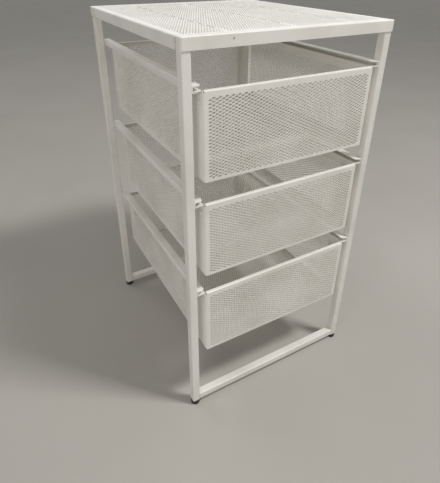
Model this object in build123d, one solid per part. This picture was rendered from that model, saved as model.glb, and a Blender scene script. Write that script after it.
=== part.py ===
from build123d import *
import os

os.makedirs("parts", exist_ok=True)

# Overall size, with the front towards -Y and the floor at Z = 0
unit_width = 300.0
unit_depth = 340.0
unit_height = 560.0

# Square tube of the frame
tube_size = 12.0
tube_wall = 1.0
tube_corner = 1.8

# Screw-in levelling feet, drawn fully screwed in
foot_height = 8.0
foot_radius = 7.0
foot_neck_radius = 4.6
foot_neck = 2.0
foot_travel = 8.0
stud_radius = 3.0
stud_grip = 8.0
stud_clearance = 0.3
socket_spare = 2.0

# Perforated top panel, one sheet folded down over the uprights
panel_sheet = 1.0
panel_play = 0.2
panel_skirt = 14.0
panel_bevel = 0.8
panel_border = 9.0
panel_bays = 3
slit_spacing = 88.0
slit_length = 18.0
slit_width = 1.4
slit_pitch = 26.0
slit_margin = 4.0
slit_end_margin = 20.0
tab_top_depth = 9.0
tab_bottom_depth = 3.0
tab_gap = 4.0
hanging_hole_radius = 1.2
hanging_hole_drop = 5.5

# Drawer runners, a C channel on the inner faces of the uprights
rail_drop = 50.0
rail_height = 8.0
rail_sheet = 1.2
rail_reach = 11.0
rail_setback = 1.0
rail_bevel = 0.8
rail_nose = 5.0
rail_stop = 1.2
rail_stop_gap = 0.3

# Screws that hold the runners to the uprights; small fixings have flats instead of true circles
flat_count = 6
screw_radius = 1.4
screw_head_radius = 2.2
screw_head = 1.2
screw_tip = 1.5
screw_clearance = 0.1

# Drawers, folded from perforated sheet
drawer_count = 3
drawer_pitch = 140.0
drawer_height = 109.5
drawer_rear_gap = 11.0
drawer_sheet = 0.8
drawer_side_clearance = 0.8
drawer_flange_clearance = 0.6
drawer_border = 8.0
fold_bevel = 1.0
fold_stub = 1.0
return_depth = 15.0
return_clearance = 1.0
front_corner = 5.0
hem_depth = 7.0
hem_end_gap = 7.0
fold_slot_length = 20.0
fold_slot_width = 1.8
fold_slot_pitch = 26.0

# White push rivets through the returns
rivet_radius = 1.5
rivet_head_radius = 3.0
rivet_head = 2.0
rivet_foot_radius = 2.1
rivet_foot = 0.8
rivet_clearance = 0.1
rivet_inset = 8.5
front_rivet_drop = 14.0
rear_rivet_rise = 36.0

# Diamond openings, drawn coarser than the real sheet's
wall_cell_width = 60.0
wall_cell_height = 46.0
floor_cell_width = 76.0
floor_cell_length = 104.0
top_cell_width = 50.0
top_cell_length = 80.0
mesh_strand = 5.0

# Sizes that follow from the ones above
skirt_inset = panel_sheet + panel_play
panel_corner = tube_corner + skirt_inset
upright_x = unit_width / 2 - skirt_inset - tube_size / 2
upright_y = unit_depth / 2 - skirt_inset - tube_size / 2
upright_top = unit_height - panel_sheet
upright_length = upright_top - foot_height
stud_length = foot_travel + stud_grip
socket_length = stud_length + socket_spare
tube_bore = tube_size - 2 * tube_wall
inner_x = upright_x - tube_size / 2
rail_top = unit_height - rail_drop
rail_edge_x = inner_x - rail_reach
rail_half_length = upright_y + tube_size / 2 - rail_setback
wall_x = rail_edge_x - drawer_side_clearance
flange_x = inner_x - rail_sheet - screw_head - drawer_flange_clearance
drawer_front_y = -unit_depth / 2
drawer_back_y = unit_depth / 2 - drawer_rear_gap
floor_front_y = drawer_front_y + drawer_sheet
floor_back_y = drawer_back_y - drawer_sheet
side_front_y = floor_front_y + fold_bevel
side_back_y = floor_back_y - fold_bevel
fold_inner_bevel = fold_bevel - drawer_sheet * (2 - 2**0.5)
floor_x = wall_x - drawer_sheet - fold_stub
sides = {"left": -1, "right": 1}
ends = {"front": -1, "rear": 1}
levels = ("upper", "middle", "lower")[:drawer_count]


def save(solid, name):
    """Write one sub-part under its node name."""
    solid.label = name
    export_step(solid, f"parts/{name}.step")


def along_x(profile, start, stop):
    """Extrude a profile drawn in Y and Z from X = start to X = stop."""
    return Pos(start, 0, 0) * extrude(Plane.YZ * profile, stop - start)


def along_y(profile, start, stop):
    """Extrude a profile drawn in X and Z from Y = start to Y = stop."""
    return Pos(0, stop, 0) * extrude(Plane.XZ * profile, stop - start)


def span(x_low, x_high, y_low, y_high):
    """Rectangle between two limits in each direction."""
    centre = Pos((x_low + x_high) / 2, (y_low + y_high) / 2)
    return centre * Rectangle(x_high - x_low, y_high - y_low)


def rounded(sketch, x, y, radius):
    """Round the corner of a sketch that lies nearest to a point."""
    corner = sketch.vertices().sort_by_distance((x, y, 0))[0]
    return fillet(corner, radius)


def bevelled(sketch, x, y, size):
    """Bevel the corner of a sketch that lies nearest to a point, for a tight sheet fold."""
    corner = sketch.vertices().sort_by_distance((x, y, 0))[0]
    return chamfer(corner, size)


def rod_x(radius, start, stop, y, z):
    """Shank or hole of a small fixing along X."""
    section = Pos(y, z) * RegularPolygon(radius, flat_count)
    return along_x(section, min(start, stop), max(start, stop))


def diamond_field(width, height, cell_width, cell_height):
    """Staggered diamond openings that fill a rectangle about the origin."""
    columns = max(1, round(width / cell_width))
    rows = max(1, round(height / cell_height))
    step_x = width / columns
    step_y = height / rows
    half_x = step_x / 2 - mesh_strand * step_x / (2 * min(step_x, step_y))
    half_y = half_x * step_y / step_x
    diamond = Polygon((half_x, 0), (0, half_y), (-half_x, 0), (0, -half_y), align=None)
    full = [loc * diamond for loc in GridLocations(step_x, step_y, columns, rows)]
    if columns > 1 and rows > 1:
        between = GridLocations(step_x, step_y, columns - 1, rows - 1)
        full += [loc * diamond for loc in between]
    return Sketch() + full


def run_positions(length, pitch):
    """Centres of equal marks along a line, symmetric about zero."""
    count = int(length // pitch)
    return [(i - (count - 1) / 2) * pitch for i in range(count)]


def rail_centre_z(level):
    """Height of the middle of a runner's channel."""
    return rail_top - level * drawer_pitch - rail_height / 2


def drawer_top_z(level):
    """Top of a drawer, whose flange lies on the runner's lower lip."""
    return rail_top - level * drawer_pitch - rail_height + rail_sheet + drawer_sheet


def upright(side, end):
    """Upright tube with a screw hole for each runner in its inner face."""
    section = RectangleRounded(tube_size, tube_size, tube_corner) - Rectangle(tube_bore, tube_bore)
    tube = Pos(side * upright_x, end * upright_y, foot_height) * extrude(section, upright_length)
    for level in range(drawer_count):
        hole = rod_x(
            screw_radius + screw_clearance,
            side * (inner_x - tube_wall),
            side * (inner_x + 2 * tube_wall),
            end * upright_y,
            rail_centre_z(level),
        )
        tube -= hole
    return tube


def bottom_bar(end):
    """Tube across the foot of the frame, butted between two uprights."""
    section = RectangleRounded(tube_size, tube_size, tube_corner) - Rectangle(tube_bore, tube_bore)
    section = Pos(end * upright_y, foot_height + tube_size / 2) * section
    return along_x(section, -inner_x, inner_x)


def foot_socket(side, end):
    """Plastic plug in the lower end of an upright, bored for the foot's stud."""
    bore = RegularPolygon(stud_radius + stud_clearance, flat_count)
    plug = Rectangle(tube_bore, tube_bore) - bore
    return Pos(side * upright_x, end * upright_y, foot_height) * extrude(plug, socket_length)


def foot(side, end):
    """Round levelling foot with the stud that screws into its socket."""
    disc = extrude(Circle(foot_radius), foot_height - foot_neck)
    neck = extrude(RegularPolygon(foot_neck_radius, flat_count), foot_height)
    stud = extrude(RegularPolygon(stud_radius, flat_count), foot_height + stud_length)
    return Pos(side * upright_x, end * upright_y, 0) * (disc + neck + stud)


def panel_block(inset):
    """Block with round upright corners, the top panel's outside or, set in, its inside."""
    width = unit_width - 2 * inset
    depth = unit_depth - 2 * inset
    outline = RectangleRounded(width, depth, panel_corner - inset)
    return Pos(0, 0, unit_height - panel_skirt) * extrude(outline, panel_skirt - inset)


def tab_slit(side, end):
    """Open corner of the skirt, between the wrapped tab and the side skirt."""
    tip = unit_depth / 2
    low = unit_height - panel_skirt - panel_sheet
    high = unit_height - panel_sheet - panel_play
    slit = Polygon(
        (end * (tip - tab_bottom_depth), low),
        (end * (tip - tab_top_depth), high),
        (end * (tip - tab_top_depth - tab_gap), high),
        (end * (tip - tab_top_depth - tab_gap), low),
        align=None,
    )
    near = side * (unit_width / 2 - 2 * panel_sheet)
    far = side * (unit_width / 2 + panel_sheet)
    return along_x(slit, min(near, far), max(near, far))


def top_panel():
    """Perforated top with folded skirts, corner tabs, slit lines and one hole in the front skirt."""
    block = panel_block(0)
    rim = block.faces().sort_by(Axis.Z)[-1].edges()
    panel = chamfer(rim, panel_bevel) - panel_block(panel_sheet)
    corners = [tab_slit(side, end) for side in sides.values() for end in ends.values()]
    panel -= corners
    field_half_x = unit_width / 2 - panel_border
    field_half_y = unit_depth / 2 - panel_border
    lines_x = [(i - (panel_bays - 1) / 2) * slit_spacing for i in range(panel_bays)]
    bounds = [-field_half_x - slit_margin, *lines_x, field_half_x + slit_margin]
    cuts = Sketch()
    for low, high in zip(bounds, bounds[1:]):
        bay = high - low - 2 * slit_margin
        field = diamond_field(bay, 2 * field_half_y, top_cell_width, top_cell_length)
        cuts += Pos((low + high) / 2, 0) * field
    for x in lines_x:
        for y in run_positions(2 * (field_half_y - slit_end_margin), slit_pitch):
            cuts += Pos(x, y) * Rectangle(slit_width, slit_length)
    panel -= Pos(0, 0, unit_height - 2 * panel_sheet) * extrude(cuts, 3 * panel_sheet)
    hole = Pos(lines_x[0], unit_height - hanging_hole_drop)
    hole *= RegularPolygon(hanging_hole_radius, flat_count)
    panel -= along_y(hole, -unit_depth / 2 - panel_sheet, -unit_depth / 2 + 2 * panel_sheet)
    return panel


def rail(side, level):
    """Runner with an upper and a lower lip, rounded noses and a rear stop."""
    top = rail_top - level * drawer_pitch
    bottom = top - rail_height
    channel = span(rail_edge_x, inner_x, bottom, top)
    channel = bevelled(channel, inner_x, bottom, rail_bevel)
    channel = bevelled(channel, inner_x, top, rail_bevel)
    channel -= span(0, inner_x - rail_sheet, bottom + rail_sheet, top - rail_sheet)
    runner = along_y(channel, -rail_half_length, rail_half_length)
    for height in (bottom, top):
        nose = runner.edges().filter_by(Axis.Z)
        nose = nose.sort_by_distance((rail_edge_x, -rail_half_length, height))[0]
        runner = fillet(nose, rail_nose)
    stop_y = side_back_y + rail_stop_gap
    stop = span(rail_edge_x, inner_x - rail_sheet, bottom + rail_sheet, top - rail_sheet)
    runner += along_y(stop, stop_y, stop_y + rail_stop)
    for end in ends.values():
        runner -= rod_x(
            screw_radius + screw_clearance,
            inner_x - 2 * rail_sheet,
            inner_x + rail_sheet,
            end * upright_y,
            rail_centre_z(level),
        )
    return runner if side > 0 else mirror(runner, Plane.YZ)


def rail_screws():
    """All the screws through the runners' webs into the uprights."""
    screws = []
    for side in sides.values():
        for end in ends.values():
            for level in range(drawer_count):
                web = inner_x - rail_sheet
                place = (end * upright_y, rail_centre_z(level))
                head = rod_x(screw_head_radius, side * (web - screw_head), side * web, *place)
                tip = inner_x + tube_wall + screw_tip
                screws.append(head + rod_x(screw_radius, side * web, side * tip, *place))
    return Compound(screws)


def rivet_places(level):
    """Y and Z of the rivets on one side of a drawer, front first."""
    top = drawer_top_z(level)
    front = (drawer_front_y + rivet_inset, top - front_rivet_drop)
    rear = (drawer_back_y - rivet_inset, top - drawer_height + rear_rivet_rise)
    return [front, rear]


def cut_rivet_holes(sheet, level, start, stop):
    """Rivet holes through the sheets on both sides between two X limits."""
    for y, z in rivet_places(level):
        for side in sides.values():
            sheet -= rod_x(rivet_radius + rivet_clearance, side * start, side * stop, y, z)
    return sheet


def drawer_floor(level):
    """Perforated floor with a row of fold slots along each side."""
    bottom = drawer_top_z(level) - drawer_height
    sheet = span(-floor_x, floor_x, floor_front_y, floor_back_y)
    middle_y = (floor_front_y + floor_back_y) / 2
    length = floor_back_y - floor_front_y
    for side in sides.values():
        slot_x = side * (floor_x - fold_slot_width / 2)
        for y in run_positions(length, fold_slot_pitch):
            sheet -= Pos(slot_x, middle_y + y) * Rectangle(fold_slot_width, fold_slot_length)
    openings = diamond_field(
        2 * (floor_x - drawer_border),
        length - 2 * drawer_border,
        floor_cell_width,
        floor_cell_length,
    )
    sheet -= Pos(0, middle_y) * openings
    return Pos(0, 0, bottom) * extrude(sheet, drawer_sheet)


def drawer_side(side, level):
    """Perforated side wall with the outward flange that rides in the runner."""
    top = drawer_top_z(level)
    bottom = top - drawer_height
    inner = wall_x - drawer_sheet
    profile = span(inner, wall_x, bottom, top)
    profile += span(inner, flange_x, top - drawer_sheet, top)
    profile += span(floor_x, wall_x, bottom, bottom + drawer_sheet)
    profile = bevelled(profile, inner, top, fold_bevel)
    profile = bevelled(profile, wall_x, top - drawer_sheet, fold_inner_bevel)
    profile = bevelled(profile, wall_x, bottom, fold_bevel)
    profile = bevelled(profile, inner, bottom + drawer_sheet, fold_inner_bevel)
    wall = along_y(profile, side_front_y, side_back_y)
    height = drawer_height - 2 * drawer_border
    length = side_back_y - side_front_y - 2 * (return_depth + drawer_border)
    openings = diamond_field(length, height, wall_cell_width, wall_cell_height)
    middle = Pos((side_front_y + side_back_y) / 2, (top + bottom) / 2)
    wall -= along_x(middle * openings, inner - drawer_sheet, wall_x + drawer_sheet)
    wall = cut_rivet_holes(wall, level, inner - drawer_sheet, wall_x + drawer_sheet)
    return wall if side > 0 else mirror(wall, Plane.YZ)


def drawer_end(end, level):
    """Perforated front or back with returns round the sides and a folded top hem."""
    top = drawer_top_z(level)
    bottom = top - drawer_height
    face_y = drawer_front_y if end < 0 else drawer_back_y
    inner_face_y = face_y - end * drawer_sheet
    tail_y = face_y - end * return_depth
    outer_x = wall_x + drawer_sheet
    shoulder = drawer_top_z(level) - drawer_sheet - rail_sheet - return_clearance
    outside = span(-outer_x, outer_x, min(face_y, tail_y), max(face_y, tail_y))
    inside_end = tail_y - end * drawer_sheet
    inside = span(-wall_x, wall_x, min(inner_face_y, inside_end), max(inner_face_y, inside_end))
    for side in sides.values():
        outside = bevelled(outside, side * outer_x, face_y, fold_bevel)
        inside = bevelled(inside, side * wall_x, inner_face_y, fold_inner_bevel)
    sheet = Pos(0, 0, bottom) * extrude(outside - inside, shoulder - bottom)
    outline = span(-outer_x, outer_x, bottom, shoulder)
    for side in sides.values():
        outline = rounded(outline, side * outer_x, bottom, front_corner)
    sheet &= along_y(outline, drawer_front_y, drawer_back_y)
    hem_end = face_y - end * hem_depth
    hem = span(min(face_y, inner_face_y), max(face_y, inner_face_y), shoulder - hem_depth, top)
    hem += span(min(face_y, hem_end), max(face_y, hem_end), top - drawer_sheet, top)
    hem = bevelled(hem, face_y, top, fold_bevel)
    hem = bevelled(hem, inner_face_y, top - drawer_sheet, fold_inner_bevel)
    sheet += along_x(hem, hem_end_gap - outer_x, outer_x - hem_end_gap)
    width = 2 * (outer_x - drawer_border)
    height = drawer_height - 2 * drawer_border
    openings = diamond_field(width, height, wall_cell_width, wall_cell_height)
    openings = Pos(0, (top + bottom) / 2) * openings
    sheet -= along_y(openings, face_y - 2 * drawer_sheet, face_y + 2 * drawer_sheet)
    return cut_rivet_holes(sheet, level, wall_x - drawer_sheet, outer_x + drawer_sheet)


def drawer_rivets(level):
    """Four push rivets that hold the returns to the side walls."""
    rivets = []
    inner = wall_x - drawer_sheet
    outer = wall_x + drawer_sheet
    for y, z in rivet_places(level):
        for side in sides.values():
            rivet = rod_x(rivet_head_radius, side * outer, side * (outer + rivet_head), y, z)
            rivet += rod_x(rivet_radius, side * inner, side * outer, y, z)
            rivet += rod_x(rivet_foot_radius, side * (inner - rivet_foot), side * inner, y, z)
            rivets.append(rivet)
    return Compound(rivets)


for end_name, end in ends.items():
    for side_name, side in sides.items():
        save(upright(side, end), f"{end_name}_{side_name}_upright")
        save(foot_socket(side, end), f"{end_name}_{side_name}_foot_socket")
        save(foot(side, end), f"{end_name}_{side_name}_foot")
    save(bottom_bar(end), f"{end_name}_bottom_bar")

for level, level_name in enumerate(levels):
    for side_name, side in sides.items():
        save(rail(side, level), f"{level_name}_{side_name}_rail")
        save(drawer_side(side, level), f"{level_name}_drawer_{side_name}_side")
    save(drawer_floor(level), f"{level_name}_drawer_floor")
    save(drawer_end(-1, level), f"{level_name}_drawer_front")
    save(drawer_end(1, level), f"{level_name}_drawer_back")
    save(drawer_rivets(level), f"{level_name}_drawer_rivets")

save(rail_screws(), "rail_screws")
save(top_panel(), "top_panel")
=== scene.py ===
"""Studio scene of a drawer unit: square-tube frame, folded perforated top and three mesh drawers.

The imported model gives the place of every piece. The perforated sheets, the rivets, the screws and
the feet are modelled here in full detail and stand for their plain solids. The tubes, the runners
and the foot sockets keep their solids and get a finish. All lengths are in metres.
"""

import logging
import math
from dataclasses import dataclass
from enum import Enum
from typing import Callable, Iterable, Sequence

import bmesh
import bpy
from mathutils import Matrix, Vector

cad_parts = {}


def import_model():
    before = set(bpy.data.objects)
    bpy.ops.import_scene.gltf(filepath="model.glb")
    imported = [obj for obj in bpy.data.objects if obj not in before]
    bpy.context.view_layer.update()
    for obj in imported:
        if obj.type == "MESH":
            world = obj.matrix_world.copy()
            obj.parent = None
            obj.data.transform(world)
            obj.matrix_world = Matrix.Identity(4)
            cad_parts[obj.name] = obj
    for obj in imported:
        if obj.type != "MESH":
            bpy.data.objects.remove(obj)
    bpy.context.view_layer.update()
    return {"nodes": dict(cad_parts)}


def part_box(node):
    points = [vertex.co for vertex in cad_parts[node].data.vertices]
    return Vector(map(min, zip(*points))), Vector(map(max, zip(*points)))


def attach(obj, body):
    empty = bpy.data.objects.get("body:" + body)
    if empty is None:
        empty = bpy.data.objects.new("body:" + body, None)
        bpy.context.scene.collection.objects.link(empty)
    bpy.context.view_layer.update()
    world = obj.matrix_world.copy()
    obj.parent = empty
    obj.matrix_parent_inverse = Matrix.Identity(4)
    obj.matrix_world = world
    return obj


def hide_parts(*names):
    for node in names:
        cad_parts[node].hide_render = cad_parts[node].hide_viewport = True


LOG = logging.getLogger("drawer_unit")

MM = 0.001

# Two points closer than this are one
SAME_PLACE = 1e-6
# A cut closer than this to a vertex runs through it
CUT_TOLERANCE = 1e-7
# An opening at a sheet's edge is punched this far past it
PAST_EDGE = 1.0 * MM
# Faces whose middles lie this close to an opening are divided along its edges
PUNCH_REACH = 8.0 * MM
# Faces less than this far in from a panel's side belong to that side
SKIN_DEPTH = 0.5 * MM

# The sRGB transfer curve
SRGB_KNEE = 0.04045
SRGB_SLOPE = 12.92
SRGB_OFFSET = 0.055
SRGB_POWER = 2.4

# Most of a noise texture's values lie between these two
NOISE_LOW = 0.3
NOISE_HIGH = 0.7


class Level(Enum):
    """The three drawers, from the top down."""

    UPPER = "upper"
    MIDDLE = "middle"
    LOWER = "lower"

    @property
    def body(self) -> str:
        """Name of the body that the drawer's pieces ride on."""
        return f"{self.value}_drawer"


class Way(Enum):
    """One of two opposite ways, whose value is its sign along an axis."""

    @property
    def label(self) -> str:
        """Word used in node names."""
        return self.name.lower()


class Side(Way):
    """Left and right, seen from the front."""

    LEFT = -1
    RIGHT = 1


class End(Way):
    """Front and rear of the unit."""

    FRONT = -1
    REAR = 1


class Slot(Enum):
    """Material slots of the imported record."""

    STEEL = "white_steel"
    BLACK = "black_plastic"
    RIVET = "white_plastic"
    ZINC = "zinc_steel"


def linear(hex_colour: str) -> tuple[float, float, float, float]:
    """Turn an sRGB hex colour into linear RGBA.

    Args:
        hex_colour: Six hex digits with a leading hash.

    Returns:
        Linear red, green, blue and an alpha of one.
    """
    channels = [int(hex_colour[i : i + 2], 16) / 255 for i in (1, 3, 5)]
    values = [
        c / SRGB_SLOPE if c <= SRGB_KNEE else ((c + SRGB_OFFSET) / (1 + SRGB_OFFSET)) ** SRGB_POWER
        for c in channels
    ]
    return (*values, 1.0)


def add_node(
    tree: bpy.types.NodeTree,
    kind: str,
    settings: dict[str, object] | None = None,
    inputs: dict[str | int, object] | None = None,
) -> bpy.types.Node:
    """Add a node with its settings, socket values and incoming links.

    Args:
        tree: Node tree that gets the node.
        kind: Blender's name for the node type.
        settings: Properties of the node itself.
        inputs: Socket name or number to a plain value, or to an output socket linked to it.

    Returns:
        The new node.
    """
    node = tree.nodes.new(kind)
    for name, value in (settings or {}).items():
        setattr(node, name, value)
    for name, value in (inputs or {}).items():
        if isinstance(value, bpy.types.NodeSocket):
            tree.links.new(value, node.inputs[name])
        else:
            node.inputs[name].default_value = value
    return node


def two_tone(
    tree: bpy.types.NodeTree,
    factor: bpy.types.NodeSocket,
    low: str,
    high: str,
    blend: tuple[float, float],
) -> bpy.types.NodeSocket:
    """Blend two sRGB colours by a factor.

    Args:
        tree: Node tree that gets the ramp.
        factor: Socket that drives the blend.
        low: Hex colour where the blend begins.
        high: Hex colour where it ends.
        blend: Factors at which the blend begins and ends.

    Returns:
        The blended colour.
    """
    ramp = add_node(tree, "ShaderNodeValToRGB", inputs={"Fac": factor})
    for stop, place, colour in zip(ramp.color_ramp.elements, blend, (low, high)):
        stop.position = place
        stop.color = linear(colour)
    return ramp.outputs["Color"]


def spread(
    tree: bpy.types.NodeTree,
    factor: bpy.types.NodeSocket,
    low: float,
    high: float,
    start: float = 0.0,
    stop: float = 1.0,
) -> bpy.types.NodeSocket:
    """Map a factor to a range of values.

    Args:
        tree: Node tree that gets the mapping.
        factor: Socket that drives it.
        low: Value at the start.
        high: Value at the stop.
        start: Factor at which the range begins.
        stop: Factor at which it ends.

    Returns:
        The mapped value.
    """
    inputs = {"Value": factor, "From Min": start, "From Max": stop, "To Min": low, "To Max": high}
    return add_node(tree, "ShaderNodeMapRange", inputs=inputs).outputs["Result"]


def relief(
    tree: bpy.types.NodeTree, height: bpy.types.NodeSocket, distance: float
) -> bpy.types.NodeSocket:
    """Turn a height into a bumped normal.

    Args:
        tree: Node tree that gets the bump.
        height: Height, from zero to one.
        distance: Real height of one.

    Returns:
        The bumped normal.
    """
    inputs = {"Height": height, "Distance": distance, "Strength": 1.0}
    return add_node(tree, "ShaderNodeBump", inputs=inputs).outputs["Normal"]


def blank_material(
    name: str,
) -> tuple[bpy.types.Material, bpy.types.NodeTree, bpy.types.NodeSocket]:
    """Make an empty node material.

    Args:
        name: Name of the material.

    Returns:
        The material, its node tree and the object coordinates for its patterns.
    """
    material = bpy.data.materials.new(name)
    material.use_nodes = True
    tree = material.node_tree
    tree.nodes.clear()
    return material, tree, add_node(tree, "ShaderNodeTexCoord").outputs["Object"]


def add_surface(tree: bpy.types.NodeTree, inputs: dict[str, object]) -> None:
    """Add a material's surface shader and its output.

    Args:
        tree: The material's node tree.
        inputs: Socket name of the Principled BSDF to its value or link.
    """
    shader = add_node(tree, "ShaderNodeBsdfPrincipled", inputs=inputs)
    add_node(tree, "ShaderNodeOutputMaterial", inputs={"Surface": shader.outputs["BSDF"]})


@dataclass(frozen=True)
class Noise:
    """Noise of a real size: its largest patches, its octaves and what each octave keeps."""

    size: float
    detail: float
    roughness: float

    def factor(
        self, tree: bpy.types.NodeTree, place: bpy.types.NodeSocket
    ) -> bpy.types.NodeSocket:
        """Add the noise.

        Args:
            tree: Node tree that gets it.
            place: Object coordinates.

        Returns:
            The noise's factor.
        """
        inputs = {
            "Vector": place,
            "Scale": 1 / self.size,
            "Detail": self.detail,
            "Roughness": self.roughness,
        }
        return add_node(tree, "ShaderNodeTexNoise", inputs=inputs).outputs["Fac"]


def cells(
    tree: bpy.types.NodeTree, place: bpy.types.NodeSocket, size: float
) -> bpy.types.NodeSocket:
    """Add a pattern of cells.

    Args:
        tree: Node tree that gets it.
        place: Object coordinates.
        size: Size of a cell.

    Returns:
        The distance from each cell's middle.
    """
    inputs = {"Vector": place, "Scale": 1 / size}
    return add_node(tree, "ShaderNodeTexVoronoi", inputs=inputs).outputs["Distance"]


@dataclass(frozen=True)
class PowderCoat:
    """White polyester powder coat, sprayed dry on steel and baked.

    It gives the eye a warm off-white with a satin sheen, a very fine orange peel from the melted
    grains, and a faint greying where hands and dust have been.
    """

    name: str = "powder_coated_steel"
    clean: str = "#EFECE5"
    handled: str = "#E2DED4"
    # The clouds of handling and dust are about a hand across
    cloud: Noise = Noise(90.0 * MM, 5.0, 0.62)
    cloud_blend: tuple[float, float] = (0.33, 0.6)
    grain: Noise = Noise(6.0 * MM, 3.0, 0.5)
    roughness: tuple[float, float] = (0.34, 0.48)
    # Orange peel of powder coat is 0.5 to 3 mm from crest to crest
    peel: Noise = Noise(1.4 * MM, 2.0, 0.45)
    peel_height: float = 0.02 * MM
    ior: float = 1.5
    coat: float = 0.12
    coat_roughness: float = 0.3

    def build(self) -> bpy.types.Material:
        """Make the node material."""
        material, tree, place = blank_material(self.name)
        cloud = self.cloud.factor(tree, place)
        grain = self.grain.factor(tree, place)
        peel = self.peel.factor(tree, place)
        inputs = {
            "Base Color": two_tone(tree, cloud, self.handled, self.clean, self.cloud_blend),
            "Roughness": spread(tree, grain, *self.roughness, NOISE_LOW, NOISE_HIGH),
            "Normal": relief(tree, peel, self.peel_height),
            "IOR": self.ior,
            "Coat Weight": self.coat,
            "Coat Roughness": self.coat_roughness,
        }
        add_surface(tree, inputs)
        return material


@dataclass(frozen=True)
class MouldedPolymer:
    """Injection-moulded plastic with the fine spark texture of its mould.

    It gives the eye a soft broken highlight and a colour that hardly varies.
    """

    name: str
    colour: str
    worn: str
    roughness: float
    roughness_swing: float = 0.07
    patch: Noise = Noise(5.0 * MM, 4.0, 0.6)
    patch_blend: tuple[float, float] = (0.42, 0.72)
    spark: float = 0.35 * MM
    spark_height: float = 0.015 * MM
    ior: float = 1.49

    def build(self) -> bpy.types.Material:
        """Make the node material."""
        material, tree, place = blank_material(self.name)
        patch = self.patch.factor(tree, place)
        low, high = self.roughness - self.roughness_swing, self.roughness + self.roughness_swing
        inputs = {
            "Base Color": two_tone(tree, patch, self.colour, self.worn, self.patch_blend),
            "Roughness": spread(tree, patch, low, high, NOISE_LOW, NOISE_HIGH),
            "Normal": relief(tree, cells(tree, place, self.spark), self.spark_height),
            "IOR": self.ior,
        }
        add_surface(tree, inputs)
        return material


@dataclass(frozen=True)
class ZincPlate:
    """Bright zinc plate on steel screws, barrel-plated.

    It gives the eye a bluish silver with small crystal patches that differ in gloss.
    """

    name: str = "zinc_plated_steel"
    pale: str = "#C9CCD0"
    dull: str = "#A4A8AD"
    crystal: float = 0.8 * MM
    crystal_blend: tuple[float, float] = (0.1, 0.8)
    roughness: tuple[float, float] = (0.28, 0.42)

    def build(self) -> bpy.types.Material:
        """Make the node material."""
        material, tree, place = blank_material(self.name)
        crystal = cells(tree, place, self.crystal)
        inputs = {
            "Base Color": two_tone(tree, crystal, self.pale, self.dull, self.crystal_blend),
            "Roughness": spread(tree, crystal, *self.roughness),
            "Metallic": 1.0,
        }
        add_surface(tree, inputs)
        return material


Finishes = dict[Slot, bpy.types.Material]


def make_finishes() -> Finishes:
    """Build the finish of each material slot, to be shared by the slot's pieces.

    Returns:
        Slot to material.
    """
    recipes = {
        Slot.STEEL: PowderCoat(),
        Slot.BLACK: MouldedPolymer("moulded_polyamide", "#161616", "#242424", roughness=0.5),
        Slot.RIVET: MouldedPolymer("moulded_polypropylene", "#F0EEE8", "#E4E1D9", roughness=0.42),
        Slot.ZINC: ZincPlate(),
    }
    return {slot: recipe.build() for slot, recipe in recipes.items()}


def quarter_arc(steps: int) -> list[float]:
    """Angles of a quarter turn, in equal steps.

    Args:
        steps: Number of steps.

    Returns:
        The angles in radians, from zero to a quarter turn.
    """
    return [math.radians(90 * i / steps) for i in range(steps + 1)]


def run_centres(length: float, pitch: float) -> list[float]:
    """Centres of equal marks along a line, symmetric about zero.

    Args:
        length: Length of the line.
        pitch: Distance from mark to mark.

    Returns:
        The centres, from low to high.
    """
    count = int(length // pitch)
    return [(i - (count - 1) / 2) * pitch for i in range(count)]


def edges_where(
    bm: bmesh.types.BMesh, test: Callable[[Vector], bool]
) -> list[bmesh.types.BMEdge]:
    """Open edges of a sheet whose two ends pass a test.

    Args:
        bm: Mesh of the sheet.
        test: Test on a vertex's place.

    Returns:
        The boundary edges that pass at both ends.
    """
    return [e for e in bm.edges if e.is_boundary and all(test(v.co) for v in e.verts)]


def cut_away(bm: bmesh.types.BMesh, point: Sequence[float], outward: Sequence[float]) -> None:
    """Trim a sheet at a plane and drop what lies outside it.

    Args:
        bm: Mesh of the sheet.
        point: A point on the plane.
        outward: The plane's normal, towards the side that is dropped.
    """
    bmesh.ops.bisect_plane(
        bm,
        geom=bm.verts[:] + bm.edges[:] + bm.faces[:],
        dist=CUT_TOLERANCE,
        plane_co=point,
        plane_no=outward,
        clear_outer=True,
    )


def round_corner(
    bm: bmesh.types.BMesh, core: tuple[float, float], radius: float, side: int, end: int, steps: int
) -> None:
    """Trim one corner of a flat sheet to an arc.

    Args:
        bm: Mesh of the sheet, centred on the origin.
        core: X and Y of the arc's centre, without their signs.
        radius: Radius of the arc.
        side: Sign of the corner's X.
        end: Sign of the corner's Y.
        steps: Cuts along the arc.
    """
    arc = [
        (side * (core[0] + radius * math.sin(a)), end * (core[1] + radius * math.cos(a)))
        for a in quarter_arc(steps)
    ]
    for (xa, ya), (xb, yb) in zip(arc, arc[1:]):
        cut_away(bm, (xa, ya, 0), (side * abs(yb - ya), end * abs(xb - xa), 0))


def score(
    bm: bmesh.types.BMesh,
    point: Sequence[float],
    normal: Sequence[float],
    test: Callable[[Vector], bool],
) -> None:
    """Divide the faces that pass a test along a plane, and drop nothing.

    Args:
        bm: Mesh of the sheet.
        point: A point on the plane.
        normal: The plane's normal.
        test: Test on a face's centre.
    """
    faces = [f for f in bm.faces if test(f.calc_center_median())]
    edges = {e for f in faces for e in f.edges}
    verts = {v for f in faces for v in f.verts}
    geom = [*verts, *edges, *faces]
    bmesh.ops.bisect_plane(bm, geom=geom, dist=CUT_TOLERANCE, plane_co=point, plane_no=normal)


def drop_faces(bm: bmesh.types.BMesh, test: Callable[[Vector], bool]) -> None:
    """Remove the faces that pass a test.

    Args:
        bm: Mesh of the sheet.
        test: Test on a face's centre.
    """
    gone = [f for f in bm.faces if test(f.calc_center_median())]
    bmesh.ops.delete(bm, geom=gone, context="FACES")


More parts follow.
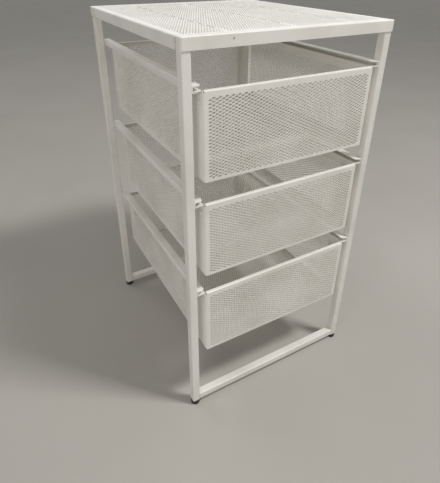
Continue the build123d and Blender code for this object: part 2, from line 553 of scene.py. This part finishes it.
def punch(bm: bmesh.types.BMesh, x0: float, x1: float, y0: float, y1: float) -> None:
    """Punch a rectangular opening through a flat sheet.

    Args:
        bm: Mesh of the sheet, lying in X and Y.
        x0: Low X of the opening.
        x1: High X of the opening.
        y0: Low Y of the opening.
        y1: High Y of the opening.
    """

    def within(c: Vector, reach: float) -> bool:
        """Whether a point is in the opening or less than a reach beside it."""
        return x0 - reach < c.x < x1 + reach and y0 - reach < c.y < y1 + reach

    for x in (x0, x1):
        score(bm, (x, 0, 0), (1, 0, 0), lambda c: within(c, PUNCH_REACH))
    for y in (y0, y1):
        score(bm, (0, y, 0), (0, 1, 0), lambda c: within(c, PUNCH_REACH))
    drop_faces(bm, lambda c: within(c, 0.0))


def drill(
    bm: bmesh.types.BMesh,
    centre: Sequence[float],
    radius: float,
    outward: Sequence[float],
    sides: int = 12,
) -> None:
    """Drill a small round hole through a flat part of a sheet.

    Args:
        bm: Mesh of the sheet.
        centre: Middle of the hole, on the sheet's skin.
        radius: Radius of the hole.
        outward: The flat part's normal.
        sides: Flats round the hole.
    """
    middle, normal = Vector(centre), Vector(outward)
    first = normal.orthogonal().normalized()
    spokes = [Matrix.Rotation(math.tau * k / sides, 3, normal) @ first for k in range(sides)]
    reach = 5 * radius

    def near(c: Vector) -> bool:
        """Whether a point is on the flat part, close to the hole."""
        return abs((c - middle).dot(normal)) < SKIN_DEPTH / 2 and (c - middle).length < reach

    for spoke in spokes:
        score(bm, middle + spoke * radius, spoke, near)
    drop_faces(bm, lambda c: near(c) and all((c - middle).dot(s) < radius for s in spokes))


def fold(
    bm: bmesh.types.BMesh,
    edges: list[bmesh.types.BMEdge],
    centre: Sequence[float],
    axis: Sequence[float],
    beyond: Sequence[float],
    steps: int = 4,
) -> None:
    """Fold a sheet square from some of its open edges: a bend, then a flat return.

    Args:
        bm: Mesh of the sheet.
        edges: Open edges that the fold goes on from.
        centre: A point on the bend's axis.
        axis: Direction of the bend's axis.
        beyond: How far and which way the flat return runs after the bend.
        steps: Faces round the bend.
    """
    verts = {v for e in edges for v in e.verts}
    made = bmesh.ops.spin(
        bm,
        geom=[*verts, *edges],
        cent=centre,
        axis=axis,
        angle=math.pi / 2,
        steps=steps,
        use_duplicate=False,
    )
    last = [g for g in made["geom_last"] if isinstance(g, bmesh.types.BMEdge)]
    flat = bmesh.ops.extrude_edge_only(bm, edges=last)
    moved = [g for g in flat["geom"] if isinstance(g, bmesh.types.BMVert)]
    bmesh.ops.translate(bm, verts=moved, vec=beyond)


def lathe(bm: bmesh.types.BMesh, outline: Sequence[tuple[float, float]], steps: int) -> None:
    """Turn an outline of radius and height about Z into a closed skin.

    Args:
        bm: Mesh that gets the skin.
        outline: Radius and height of each point, from the lower pole to the upper one.
        steps: Faces round the axis.
    """
    chain = [bm.verts.new((r, 0.0, z)) for r, z in outline]
    edges = [bm.edges.new(pair) for pair in zip(chain, chain[1:])]
    bmesh.ops.spin(
        bm,
        geom=chain + edges,
        cent=(0, 0, 0),
        axis=(0, 0, 1),
        angle=math.tau,
        steps=steps,
        use_merge=True,
        use_duplicate=False,
    )
    bmesh.ops.remove_doubles(bm, verts=bm.verts[:], dist=SAME_PLACE)
    bmesh.ops.dissolve_degenerate(bm, edges=bm.edges[:], dist=SAME_PLACE)
    bmesh.ops.recalc_face_normals(bm, faces=bm.faces[:])


def copies(
    pattern: Callable[[bmesh.types.BMesh], None], places: Iterable[Matrix]
) -> bmesh.types.BMesh:
    """Repeat a small shape at several places in one mesh.

    Args:
        pattern: Adds the shape at the origin to a mesh.
        places: A matrix for each copy.

    Returns:
        The mesh with every copy.
    """
    whole = bmesh.new()
    scratch = bpy.data.meshes.new("scratch")
    for place in places:
        one = bmesh.new()
        pattern(one)
        bmesh.ops.transform(one, matrix=place, verts=one.verts)
        one.to_mesh(scratch)
        one.free()
        whole.from_mesh(scratch)
    bpy.data.meshes.remove(scratch)
    return whole


def axes(right: Sequence[float], up: Sequence[float], origin: Vector) -> Matrix:
    """Matrix that lays a flat sheet's X and Y along two directions.

    Args:
        right: World direction of the sheet's X.
        up: World direction of the sheet's Y.
        origin: World place of the sheet's centre.

    Returns:
        The matrix, whose third axis is the sheet's outward side.
    """
    r, u = Vector(right), Vector(up)
    turned = Matrix((r, u, r.cross(u))).transposed().to_4x4()
    return Matrix.Translation(origin) @ turned


@dataclass
class Piece:
    """A finished mesh on its way into the scene."""

    name: str
    body: str
    slot: Slot
    stands_for: tuple[str, ...]

    def place(
        self, bm: bmesh.types.BMesh, finishes: Finishes, smooth: bool = False
    ) -> bpy.types.Object:
        """Turn a mesh into an object that rides on its body.

        Args:
            bm: The finished mesh, which is freed.
            finishes: Finish of each slot.
            smooth: Whether its faces are shaded smooth.

        Returns:
            The new object.
        """
        mesh = bpy.data.meshes.new(self.name)
        bm.to_mesh(mesh)
        bm.free()
        if smooth:
            mesh.shade_smooth()
        mesh.materials.append(finishes[self.slot])
        piece = bpy.data.objects.new(self.name, mesh)
        bpy.context.scene.collection.objects.link(piece)
        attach(piece, self.body)
        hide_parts(*self.stands_for)
        LOG.info("%s: %d faces on %s", self.name, len(mesh.polygons), self.body)
        return piece


def place_sheet(
    bm: bmesh.types.BMesh, node: str, body: str, thickness: float, finishes: Finishes
) -> None:
    """Place a one-skin sheet, with its metal thickness behind its outward side.

    Args:
        bm: The finished sheet, which is freed.
        node: Name of the solid that it stands for.
        body: Body that it rides on.
        thickness: Thickness of the metal.
        finishes: Finish of each slot.
    """
    piece = Piece(f"{node}_mesh", body, Slot.STEEL, (node,)).place(bm, finishes)
    solidify = piece.modifiers.new("sheet", "SOLIDIFY")
    solidify.thickness = thickness
    solidify.offset = -1.0
    solidify.use_even_offset = True


@dataclass(frozen=True)
class Perforation:
    """Staggered diamond perforation: the diamonds' repeat and the metal left between them.

    The photograph's diamonds repeat every 7.0 by 3.5 mm, with the long diagonal across a
    drawer's front and along the depth on its sides, its floor and the top.
    """

    pitch_x: float
    pitch_y: float
    strand: float

    def turned(self) -> "Perforation":
        """The same perforation with its long diagonal along the other axis."""
        return Perforation(self.pitch_y, self.pitch_x, self.strand)

    def sheet(
        self, width: float, height: float, fields: Sequence[tuple[float, float, float, float]]
    ) -> bmesh.types.BMesh:
        """Make a flat sheet about the origin with whole diamonds punched in its fields.

        Args:
            width: Width of the sheet.
            height: Height of the sheet.
            fields: Low X, high X, low Y and high Y of each perforated field.

        Returns:
            The one-skin sheet, facing +Z.
        """
        count = 2 * math.ceil((width / self.pitch_x + height / self.pitch_y) / 2 + 1)
        half_root = math.sqrt(0.5)
        stretch = Matrix.Diagonal((self.pitch_x * half_root, self.pitch_y * half_root, 1, 1))
        turn = Matrix.Rotation(math.radians(45), 4, "Z")
        bm = bmesh.new()
        bmesh.ops.create_grid(
            bm, x_segments=count, y_segments=count, size=count / 2, matrix=stretch @ turn
        )
        half_x, half_y = self.pitch_x / 2, self.pitch_y / 2
        far_x, far_y = width / 2 + half_x, height / 2 + half_y
        centres = {f: f.calc_center_median() for f in bm.faces}
        outside = [f for f, c in centres.items() if abs(c.x) > far_x or abs(c.y) > far_y]
        holes = [
            f
            for f, c in centres.items()
            if any(
                x0 + half_x <= c.x <= x1 - half_x and y0 + half_y <= c.y <= y1 - half_y
                for x0, x1, y0, y1 in fields
            )
        ]
        bmesh.ops.inset_individual(
            bm, faces=holes, thickness=self.strand / 2, use_even_offset=True
        )
        bmesh.ops.delete(bm, geom=outside + holes, context="FACES")
        for sign in (-1, 1):
            cut_away(bm, (sign * width / 2, 0, 0), (sign, 0, 0))
        for sign in (-1, 1):
            cut_away(bm, (0, sign * height / 2, 0), (0, sign, 0))
        return bm


# Drawn almost a fifth coarser than the photograph's, whose diamonds would blur away in a render
# of its width
DRAWER_PERFORATION = Perforation(pitch_x=8.3 * MM, pitch_y=4.15 * MM, strand=0.92 * MM)
# The top's diamonds have their real size
TOP_PERFORATION = Perforation(pitch_x=3.52 * MM, pitch_y=7.04 * MM, strand=1.45 * MM)
DRAWER_SHEET = 0.8 * MM
TOP_SHEET = 1.0 * MM


@dataclass
class DrawerEnd:
    """Front or back of a drawer: a perforated face, side returns and a folded top hem."""

    level: Level
    end: End
    bend: float = 1.6 * MM
    side_bend: float = 2.6 * MM
    side_bend_steps: int = 6
    side_border: float = 5.3 * MM
    head_border: float = 6.9 * MM
    foot_border: float = 2.8 * MM
    corner: float = 5.0 * MM
    corner_steps: int = 4
    hem: float = 4.8 * MM
    hem_end_gap: float = 2.8 * MM
    shoulder_drop: float = 3.0 * MM
    return_depth: float = 15.0 * MM

    def build(self, finishes: Finishes) -> None:
        """Build the sheet, fold it and dress it.

        Args:
            finishes: Finish of each slot.
        """
        node = f"{self.level.body}_{'front' if self.end is End.FRONT else 'back'}"
        low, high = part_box(node)
        half_w, half_h = (high.x - low.x) / 2, (high.z - low.z) / 2
        flat_x, flat_y = half_w - self.side_bend, half_h - self.bend
        field_x = half_w - self.side_border
        perforated = (-field_x, field_x, self.foot_border - half_h, half_h - self.head_border)
        bm = DRAWER_PERFORATION.sheet(2 * flat_x, 2 * half_h, [perforated])
        cut_away(bm, (0, flat_y, 0), (0, 1, 0))
        hem_x = half_w - self.hem_end_gap
        for side in (-1, 1):
            x0, x1 = sorted((side * hem_x, side * (flat_x + PAST_EDGE)))
            punch(bm, x0, x1, half_h - self.shoulder_drop, half_h)
        for side in (-1, 1):
            edges = edges_where(bm, lambda c: abs(c.x - side * flat_x) < SAME_PLACE)
            axle = (side * flat_x, 0, -self.side_bend)
            beyond = (0, 0, self.side_bend - self.return_depth)
            fold(bm, edges, axle, (0, side, 0), beyond, self.side_bend_steps)
        core = (half_w - self.corner, half_h - self.corner)
        for side in (-1, 1):
            round_corner(bm, core, self.corner, side, -1, self.corner_steps)
        edges = edges_where(bm, lambda c: abs(c.y - flat_y) < SAME_PLACE)
        beyond = (0, 0, self.bend - self.hem)
        fold(bm, edges, (0, flat_y, -self.bend), (-1, 0, 0), beyond)
        face_y = low.y if self.end is End.FRONT else high.y
        centre = Vector((0, face_y, (low.z + high.z) / 2))
        place = axes((-self.end.value, 0, 0), (0, 0, 1), centre)
        bmesh.ops.transform(bm, matrix=place, verts=bm.verts)
        place_sheet(bm, node, self.level.body, DRAWER_SHEET, finishes)


@dataclass
class DrawerSide:
    """Side wall of a drawer, with the flange that rides in the runner and a stub at its foot."""

    level: Level
    side: Side
    bend: float = 1.6 * MM
    inner_bend: float = 0.5 * MM
    inner_bend_steps: int = 3
    foot_border: float = 7.0 * MM
    head_border: float = 11.0 * MM
    solid_end: float = 23.0 * MM
    flange: float = 8.8 * MM
    stub: float = 1.7 * MM

    def build(self, finishes: Finishes) -> None:
        """Build the sheet, fold it and dress it.

        Args:
            finishes: Finish of each slot.
        """
        node = f"{self.level.body}_{self.side.label}_side"
        low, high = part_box(node)
        half_l, half_h = (high.y - low.y) / 2, (high.z - low.z) / 2
        foot_y = self.bend - half_h
        head_y = half_h - DRAWER_SHEET - self.inner_bend
        field_x = half_l - self.solid_end
        perforated = (-field_x, field_x, self.foot_border - half_h, half_h - self.head_border)
        bm = DRAWER_PERFORATION.sheet(2 * half_l, 2 * half_h, [perforated])
        cut_away(bm, (0, foot_y, 0), (0, -1, 0))
        cut_away(bm, (0, head_y, 0), (0, 1, 0))
        edges = edges_where(bm, lambda c: abs(c.y - foot_y) < SAME_PLACE)
        beyond = (0, 0, self.bend - self.stub)
        fold(bm, edges, (0, foot_y, -self.bend), (1, 0, 0), beyond)
        edges = edges_where(bm, lambda c: abs(c.y - head_y) < SAME_PLACE)
        beyond = (0, 0, self.flange - self.inner_bend)
        axle = (0, head_y, self.inner_bend)
        fold(bm, edges, axle, (1, 0, 0), beyond, self.inner_bend_steps)
        outer = self.side.value * (max(abs(low.x), abs(high.x)) - self.flange)
        centre = Vector((outer, (low.y + high.y) / 2, (low.z + high.z) / 2))
        place = axes((0, self.side.value, 0), (0, 0, 1), centre)
        bmesh.ops.transform(bm, matrix=place, verts=bm.verts)
        place_sheet(bm, node, self.level.body, DRAWER_SHEET, finishes)


@dataclass
class DrawerFloor:
    """Perforated floor of a drawer, joined to the side walls by short tabs between fold slots.

    The slots are drawn wider than the solid's, so that they show at the photograph's width.
    """

    level: Level
    reach: float = 0.9 * MM
    side_border: float = 4.6 * MM
    end_border: float = 6.0 * MM
    slot_length: float = 20.0 * MM
    slot_width: float = 2.8 * MM
    slot_pitch: float = 26.0 * MM

    def build(self, finishes: Finishes) -> None:
        """Build the sheet, punch its fold slots and dress it.

        Args:
            finishes: Finish of each slot.
        """
        node = f"{self.level.body}_floor"
        low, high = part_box(node)
        half_w, half_l = (high.x - low.x) / 2 + self.reach, (high.y - low.y) / 2
        field_x, field_y = half_w - self.side_border, half_l - self.end_border
        perforated = (-field_x, field_x, -field_y, field_y)
        bm = DRAWER_PERFORATION.turned().sheet(2 * half_w, 2 * half_l, [perforated])
        for middle in run_centres(2 * half_l, self.slot_pitch):
            y0, y1 = middle - self.slot_length / 2, middle + self.slot_length / 2
            for side in (1, -1):
                inner, outer = half_w - self.slot_width, half_w + PAST_EDGE
                x0, x1 = sorted((side * inner, side * outer))
                punch(bm, x0, x1, y0, y1)
        centre = Vector((0, (low.y + high.y) / 2, high.z))
        bmesh.ops.translate(bm, verts=bm.verts, vec=centre)
        place_sheet(bm, node, self.level.body, DRAWER_SHEET, finishes)


@dataclass
class PushRivets:
    """The four domed push rivets that hold a drawer's returns to its side walls."""

    level: Level
    radius: float = 3.0 * MM
    seat_radius: float = 2.88 * MM
    head: float = 2.0 * MM
    rim: float = 0.7 * MM
    dome_steps: int = 5
    shank: float = 1.5 * MM
    grip: float = 1.6 * MM
    foot: float = 2.1 * MM
    foot_height: float = 0.8 * MM
    foot_taper: float = 0.48 * MM
    tip: float = 1.68 * MM
    turn_steps: int = 28
    inset: float = 8.5 * MM
    front_drop: float = 14.0 * MM
    rear_rise: float = 36.0 * MM

    def one(self, bm: bmesh.types.BMesh) -> None:
        """Add one rivet about the origin, its head towards +Z and the sheet's skin at zero.

        Args:
            bm: Mesh that gets the rivet.
        """
        bottom = -self.grip - self.foot_height
        dome = [
            (self.radius * math.cos(a), self.rim + (self.head - self.rim) * math.sin(a))
            for a in quarter_arc(self.dome_steps)[:-1]
        ]
        outline = [
            (0.0, bottom),
            (self.tip, bottom),
            (self.foot, bottom + self.foot_taper),
            (self.shank, -self.grip),
            (self.shank, 0.0),
            (self.seat_radius, 0.0),
            *dome,
            (0.0, self.head),
        ]
        lathe(bm, outline, self.turn_steps)

    def build(self, finishes: Finishes) -> None:
        """Build the drawer's four rivets as one piece and dress it.

        Args:
            finishes: Finish of each slot.
        """
        node = f"{self.level.body}_rivets"
        _, head_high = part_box(node)
        front_low, front_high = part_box(f"{self.level.body}_front")
        _, back_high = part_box(f"{self.level.body}_back")
        skin = head_high.x - self.head
        spots = (
            (front_low.y + self.inset, front_high.z - self.front_drop),
            (back_high.y - self.inset, front_low.z + self.rear_rise),
        )
        places = [
            Matrix.Translation((side.value * skin, y, z))
            @ Matrix.Rotation(side.value * math.pi / 2, 4, "Y")
            for side in Side
            for y, z in spots
        ]
        piece = Piece(f"{node}_domed", self.level.body, Slot.RIVET, (node,))
        piece.place(copies(self.one, places), finishes, smooth=True)


@dataclass
class Drawer:
    """One drawer: two ends, two sides, a floor and its rivets."""

    level: Level

    def build(self, finishes: Finishes) -> None:
        """Build every piece of the drawer.

        Args:
            finishes: Finish of each slot.
        """
        for end in End:
            DrawerEnd(self.level, end).build(finishes)
        for side in Side:
            DrawerSide(self.level, side).build(finishes)
        DrawerFloor(self.level).build(finishes)
        PushRivets(self.level).build(finishes)


@dataclass
class TopPanel:
    """Perforated top of one sheet, folded down on four sides, with dashed slits in three lines.

    The slits are drawn twice as wide as the solid's, so that they show at the photograph's width.
    """

    bend: float = 1.5 * MM
    bend_steps: int = 4
    corner: float = 3.0 * MM
    corner_steps: int = 3
    border: float = 9.0 * MM
    lines: tuple[float, ...] = (-88.0 * MM, 0.0, 88.0 * MM)
    line_margin: float = 1.7 * MM
    slit_length: float = 22.0 * MM
    slit_width: float = 2.8 * MM
    slit_pitch: float = 26.0 * MM
    slit_end: float = 20.0 * MM
    tab_top: float = 9.0 * MM
    tab_bottom: float = 3.0 * MM
    tab_gap: float = 4.0 * MM
    tab_reach: float = 45.0 * MM
    hole: float = 1.2 * MM
    hole_drop: float = 5.5 * MM

    def bays(self, field_x: float, field_y: float) -> list[tuple[float, float, float, float]]:
        """Perforated bays between the border and the slit lines.

        Args:
            field_x: Half the width of the whole field.
            field_y: Half the depth of the whole field.

        Returns:
            Low X, high X, low Y and high Y of each bay.
        """
        lows = [-field_x, *(x + self.line_margin for x in self.lines)]
        highs = [*(x - self.line_margin for x in self.lines), field_x]
        return [(x0, x1, -field_y, field_y) for x0, x1 in zip(lows, highs)]

    def punch_slits(self, bm: bmesh.types.BMesh, field_y: float) -> None:
        """Punch the dashed slits along their lines.

        Args:
            bm: Mesh of the flat top.
            field_y: Half the depth of the perforated field.
        """
        half_w, half_l = self.slit_width / 2, self.slit_length / 2
        for x in self.lines:
            for y in run_centres(2 * (field_y - self.slit_end), self.slit_pitch):
                punch(bm, x - half_w, x + half_w, y - half_l, y + half_l)

    def fold_skirt(self, bm: bmesh.types.BMesh, core: tuple[float, float], drop: float) -> None:
        """Fold the skirt down all round, with round upright corners.

        Args:
            bm: Mesh of the flat top.
            core: X and Y of the corners' axes, without their signs.
            drop: Height of the skirt.
        """
        core_x, core_y = core

        def away(c: Vector) -> Vector:
            """Level direction out of the panel at a point of its rim."""
            near = (max(-core_x, min(core_x, c.x)), max(-core_y, min(core_y, c.y)), c.z)
            return (c - Vector(near)).normalized()

        bend = [
            (self.bend * math.sin(a), self.bend * (math.cos(a) - 1))
            for a in quarter_arc(self.bend_steps)
        ]
        profile = [*bend, (self.bend, -drop)]
        edges = edges_where(bm, lambda c: abs(c.x) > core_x or abs(c.y) > core_y)
        for (out0, up0), (out1, up1) in zip(profile, profile[1:]):
            made = bmesh.ops.extrude_edge_only(bm, edges=edges)["geom"]
            fresh = {g for g in made if isinstance(g, bmesh.types.BMVert)}
            edges = [
                g for g in made if isinstance(g, bmesh.types.BMEdge) and fresh.issuperset(g.verts)
            ]
            for vert in fresh:
                vert.co += away(vert.co) * (out1 - out0) + Vector((0, 0, up1 - up0))

    def slit_corner(
        self, bm: bmesh.types.BMesh, half: tuple[float, float], drop: float, side: int, end: int
    ) -> None:
        """Open the V slit between a wrapped tab and the side skirt at one corner.

        Args:
            bm: Mesh of the folded panel.
            half: Half the panel's width and half its depth.
            drop: Height of the skirt.
            side: Sign of the corner's X.
            end: Sign of the corner's Y.
        """
        half_w, half_l = half
        tab_low = Vector((0, end * (half_l - self.tab_bottom), -drop))
        tab_high = Vector((0, end * (half_l - self.tab_top), -self.bend))
        slope = Vector((1, 0, 0)).cross(tab_high - tab_low)
        if slope.y * end < 0:
            slope.negate()
        inner = end * (half_l - self.tab_top - self.tab_gap)

        def skirt(c: Vector) -> bool:
            """Whether a point is on the side skirt, close to the corner."""
            outside = c.x * side > half_w - SKIN_DEPTH
            return outside and c.z < -self.bend and c.y * end > half_l - self.tab_reach

        score(bm, tab_low, slope, skirt)
        score(bm, (0, inner, 0), (0, 1, 0), skirt)
        drop_faces(
            bm, lambda c: skirt(c) and (c - tab_low).dot(slope) < 0 and (c.y - inner) * end > 0
        )

    def build(self, finishes: Finishes) -> None:
        """Build the panel, punch and fold it, and dress it.

        Args:
            finishes: Finish of each slot.
        """
        low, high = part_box("top_panel")
        half_w, half_l, drop = (high.x - low.x) / 2, (high.y - low.y) / 2, high.z - low.z
        field_x, field_y = half_w - self.border, half_l - self.border
        rim_x, rim_y = half_w - self.bend, half_l - self.bend
        core = (half_w - self.corner, half_l - self.corner)
        bm = TOP_PERFORATION.sheet(2 * rim_x, 2 * rim_y, self.bays(field_x, field_y))
        signs = [(side, end) for side in (-1, 1) for end in (-1, 1)]
        for side, end in signs:
            round_corner(bm, core, self.corner - self.bend, side, end, self.corner_steps)
        self.punch_slits(bm, field_y)
        self.fold_skirt(bm, core, drop)
        for side, end in signs:
            self.slit_corner(bm, (half_w, half_l), drop, side, end)
        drill(bm, (self.lines[0], -half_l, -self.hole_drop), self.hole, (0, -1, 0))
        bmesh.ops.translate(bm, verts=bm.verts, vec=(0, 0, high.z))
        place_sheet(bm, "top_panel", "frame", TOP_SHEET, finishes)


@dataclass
class Tubes:
    """Uprights, bottom bars, runners and foot sockets, which keep their solids."""

    steel_words: tuple[str, ...] = ("upright", "bottom_bar", "rail")
    plastic_word: str = "foot_socket"

    def dress(self, finishes: Finishes, nodes: dict[str, bpy.types.Object]) -> None:
        """Give each kept solid its finish.

        Args:
            finishes: Finish of each slot.
            nodes: Node name to object, for every solid of the model.
        """
        for name, node in nodes.items():
            steel = name.endswith(self.steel_words)
            if steel or name.endswith(self.plastic_word):
                material = finishes[Slot.STEEL if steel else Slot.BLACK]
                node.data.materials.clear()
                node.data.materials.append(material)
                LOG.info("%s: kept, %s", name, material.name)


@dataclass
class RunnerScrews:
    """Pan-head screws through the runners' webs, with a round recess."""

    radius: float = 2.2 * MM
    head: float = 1.2 * MM
    rim: float = 0.42 * MM
    shoulder: tuple[float, float] = (1.892 * MM, 0.9 * MM)
    crown: float = 1.32 * MM
    recess: float = 0.9 * MM
    recess_floor: float = 0.48 * MM
    shank: float = 1.4 * MM
    length: float = 3.7 * MM
    tip: float = 0.84 * MM
    tip_length: float = 0.925 * MM
    turn_steps: int = 18

    def one(self, bm: bmesh.types.BMesh) -> None:
        """Add one screw about the origin, its head towards +Z and the runner's web at zero.

        Args:
            bm: Mesh that gets the screw.
        """
        outline = [
            (0.0, -self.length),
            (self.tip, -self.length),
            (self.shank, self.tip_length - self.length),
            (self.shank, 0.0),
            (self.radius, 0.0),
            (self.radius, self.rim),
            self.shoulder,
            (self.crown, self.head),
            (self.recess, self.head),
            (self.recess, self.recess_floor),
            (0.0, self.recess_floor),
        ]
        lathe(bm, outline, self.turn_steps)

    def build(self, finishes: Finishes) -> None:
        """Build all the screws as one piece and dress it.

        Args:
            finishes: Finish of each slot.
        """
        low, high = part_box("rail_screws")
        rails = [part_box(f"{level.value}_left_rail") for level in Level]
        web = high.x - self.length
        places = [
            Matrix.Translation((side.value * web, y, (rail_low.z + rail_high.z) / 2))
            @ Matrix.Rotation(-side.value * math.pi / 2, 4, "Y")
            for side in Side
            for rail_low, rail_high in rails
            for y in (low.y + self.radius, high.y - self.radius)
        ]
        piece = Piece("rail_screws_turned", "frame", Slot.ZINC, ("rail_screws",))
        piece.place(copies(self.one, places), finishes)


@dataclass
class Foot:
    """Round levelling foot with softened edges, a hollow sole, a neck and its stud."""

    end: End
    side: Side
    radius: float = 7.0 * MM
    disc: float = 6.0 * MM
    edge: float = 0.9 * MM
    edge_inset: float = 0.27 * MM
    sole: float = 4.84 * MM
    hollow: float = 4.3 * MM
    hollow_height: float = 0.3 * MM
    neck: float = 4.6 * MM
    height: float = 8.0 * MM
    stud: float = 2.7 * MM
    turn_steps: int = 48

    def build(self, finishes: Finishes) -> None:
        """Build the foot and dress it.

        Args:
            finishes: Finish of each slot.
        """
        node = f"{self.end.label}_{self.side.label}_foot"
        low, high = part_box(node)
        tall = high.z - low.z
        outline = [
            (0.0, self.hollow_height),
            (self.hollow, self.hollow_height),
            (self.sole, 0.0),
            (self.radius - self.edge, 0.0),
            (self.radius - self.edge_inset, self.edge_inset),
            (self.radius, self.edge),
            (self.radius, self.disc - self.edge),
            (self.radius - self.edge_inset, self.disc - self.edge_inset),
            (self.radius - self.edge, self.disc),
            (self.neck, self.disc),
            (self.neck, self.height),
            (self.stud, self.height),
            (self.stud, tall),
            (0.0, tall),
        ]
        bm = bmesh.new()
        lathe(bm, outline, self.turn_steps)
        centre = Vector(((low.x + high.x) / 2, (low.y + high.y) / 2, low.z))
        bmesh.ops.translate(bm, verts=bm.verts, vec=centre)
        Piece(f"{node}_turned", node, Slot.BLACK, (node,)).place(bm, finishes)


@dataclass(frozen=True)
class Softbox:
    """Square studio lamp that points at the middle of the unit."""

    name: str
    place: tuple[float, float, float]
    size: float
    watts: float
    aim: tuple[float, float, float] = (0.0, 0.0, 0.3)

    def hang(self) -> None:
        """Add the lamp to the scene."""
        data = bpy.data.lights.new(self.name, "AREA")
        data.shape = "SQUARE"
        data.size = self.size
        data.energy = self.watts
        lamp = bpy.data.objects.new(self.name, data)
        lamp.location = self.place
        ahead = Vector(self.aim) - Vector(self.place)
        lamp.rotation_euler = ahead.to_track_quat("-Z", "Y").to_euler()
        bpy.context.scene.collection.objects.link(lamp)


@dataclass(frozen=True)
class PhotoCamera:
    """Camera that was fitted to the unit's corners in the photograph.

    Its angles are in degrees, and its focal length and centre in pixels of the photograph.
    """

    place: tuple[float, float, float] = (-0.32602, -0.56521, 0.62596)
    yaw: float = 29.36
    pitch: float = -28.71
    roll: float = 0.36
    focal: float = 425.11
    centre_y: float = 191.95
    photo_height: int = 483
    sensor_mm: float = 36.0
    nearest: float = 0.01
    farthest: float = 100.0

    def build(self) -> None:
        """Add the camera to the scene and look through it."""
        yaw, pitch, roll = (math.radians(a) for a in (self.yaw, self.pitch, self.roll))
        ahead = Vector(
            (math.sin(yaw) * math.cos(pitch), math.cos(yaw) * math.cos(pitch), math.sin(pitch))
        )
        level = Vector((math.cos(yaw), -math.sin(yaw), 0))
        upward = level.cross(ahead)
        right = level * math.cos(roll) + upward * math.sin(roll)
        up = upward * math.cos(roll) - level * math.sin(roll)
        data = bpy.data.cameras.new("photo_camera")
        data.sensor_fit = "AUTO"
        data.sensor_width = self.sensor_mm
        data.lens = self.focal * self.sensor_mm / self.photo_height
        data.shift_y = (self.centre_y - self.photo_height / 2) / self.photo_height
        data.clip_start, data.clip_end = self.nearest, self.farthest
        camera = bpy.data.objects.new("photo_camera", data)
        turned = Matrix((right, up, -ahead)).transposed().to_4x4()
        camera.matrix_world = Matrix.Translation(self.place) @ turned
        bpy.context.scene.collection.objects.link(camera)
        bpy.context.scene.camera = camera


@dataclass(frozen=True)
class Studio:
    """Pale floor, soft sky, softboxes and the camera at the photograph's angle."""

    floor_pale: str = "#B9B5AD"
    floor_dull: str = "#B3AFA7"
    floor_patch: Noise = Noise(1 / 3, 3.0, 0.5)
    floor_roughness: float = 0.75
    floor_half: float = 14.0
    sky_colour: str = "#FFFFFF"
    sky_light: float = 0.22
    sky_seen: float = 1.0
    lamps: tuple[Softbox, ...] = (
        Softbox("key_softbox", (0.85, -1.02, 2.40), size=0.4, watts=38.0),
        Softbox("fill_softbox", (-1.7, -1.3, 1.0), size=1.2, watts=10.0),
        Softbox("rear_softbox", (-1.1, 1.5, 2.9), size=1.2, watts=11.0),
    )

    def floor(self) -> None:
        """Lay the plain pale floor."""
        # Vinyl sheet: it gives the eye a pale matt ground with faint clouds
        material, tree, place = blank_material("studio_vinyl_floor")
        patch = self.floor_patch.factor(tree, place)
        blend = (NOISE_LOW, NOISE_HIGH)
        tint = two_tone(tree, patch, self.floor_dull, self.floor_pale, blend)
        add_surface(tree, {"Base Color": tint, "Roughness": self.floor_roughness})
        bm = bmesh.new()
        bmesh.ops.create_grid(bm, x_segments=1, y_segments=1, size=self.floor_half)
        mesh = bpy.data.meshes.new("studio_floor")
        bm.to_mesh(mesh)
        bm.free()
        mesh.materials.append(material)
        floor = bpy.data.objects.new("studio_floor", mesh)
        bpy.context.scene.collection.objects.link(floor)

    def world(self) -> None:
        """Set an even soft sky, seen white by the camera and in reflections."""
        world = bpy.data.worlds.new("studio_world")
        bpy.context.scene.world = world
        world.use_nodes = True
        tree = world.node_tree
        tree.nodes.clear()
        rays = add_node(tree, "ShaderNodeLightPath").outputs
        seen = rays["Is Camera Ray"]
        for kind in ("Is Glossy Ray", "Is Transmission Ray"):
            settings = {"operation": "ADD", "use_clamp": True}
            seen = add_node(tree, "ShaderNodeMath", settings, {0: seen, 1: rays[kind]}).outputs[0]
        skies = [
            add_node(
                tree,
                "ShaderNodeBackground",
                inputs={"Color": linear(self.sky_colour), "Strength": strength},
            ).outputs[0]
            for strength in (self.sky_light, self.sky_seen)
        ]
        mix = add_node(
            tree, "ShaderNodeMixShader", inputs={"Fac": seen, 1: skies[0], 2: skies[1]}
        )
        add_node(tree, "ShaderNodeOutputWorld", inputs={"Surface": mix.outputs[0]})

    def build(self) -> None:
        """Set up the whole studio."""
        bpy.context.scene.view_settings.view_transform = "Standard"
        self.floor()
        self.world()
        for lamp in self.lamps:
            lamp.hang()
        PhotoCamera().build()


def main() -> None:
    """Load the frame, build every piece, and note the size of each new piece."""
    logging.basicConfig(level=logging.INFO, format="%(name)s %(message)s")
    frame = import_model()
    Studio().build()
    finishes = make_finishes()
    Tubes().dress(finishes, frame["nodes"])
    TopPanel().build(finishes)
    for level in Level:
        Drawer(level).build(finishes)
    RunnerScrews().build(finishes)
    for end in End:
        for side in Side:
            Foot(end, side).build(finishes)


if __name__ == "__main__":
    main()
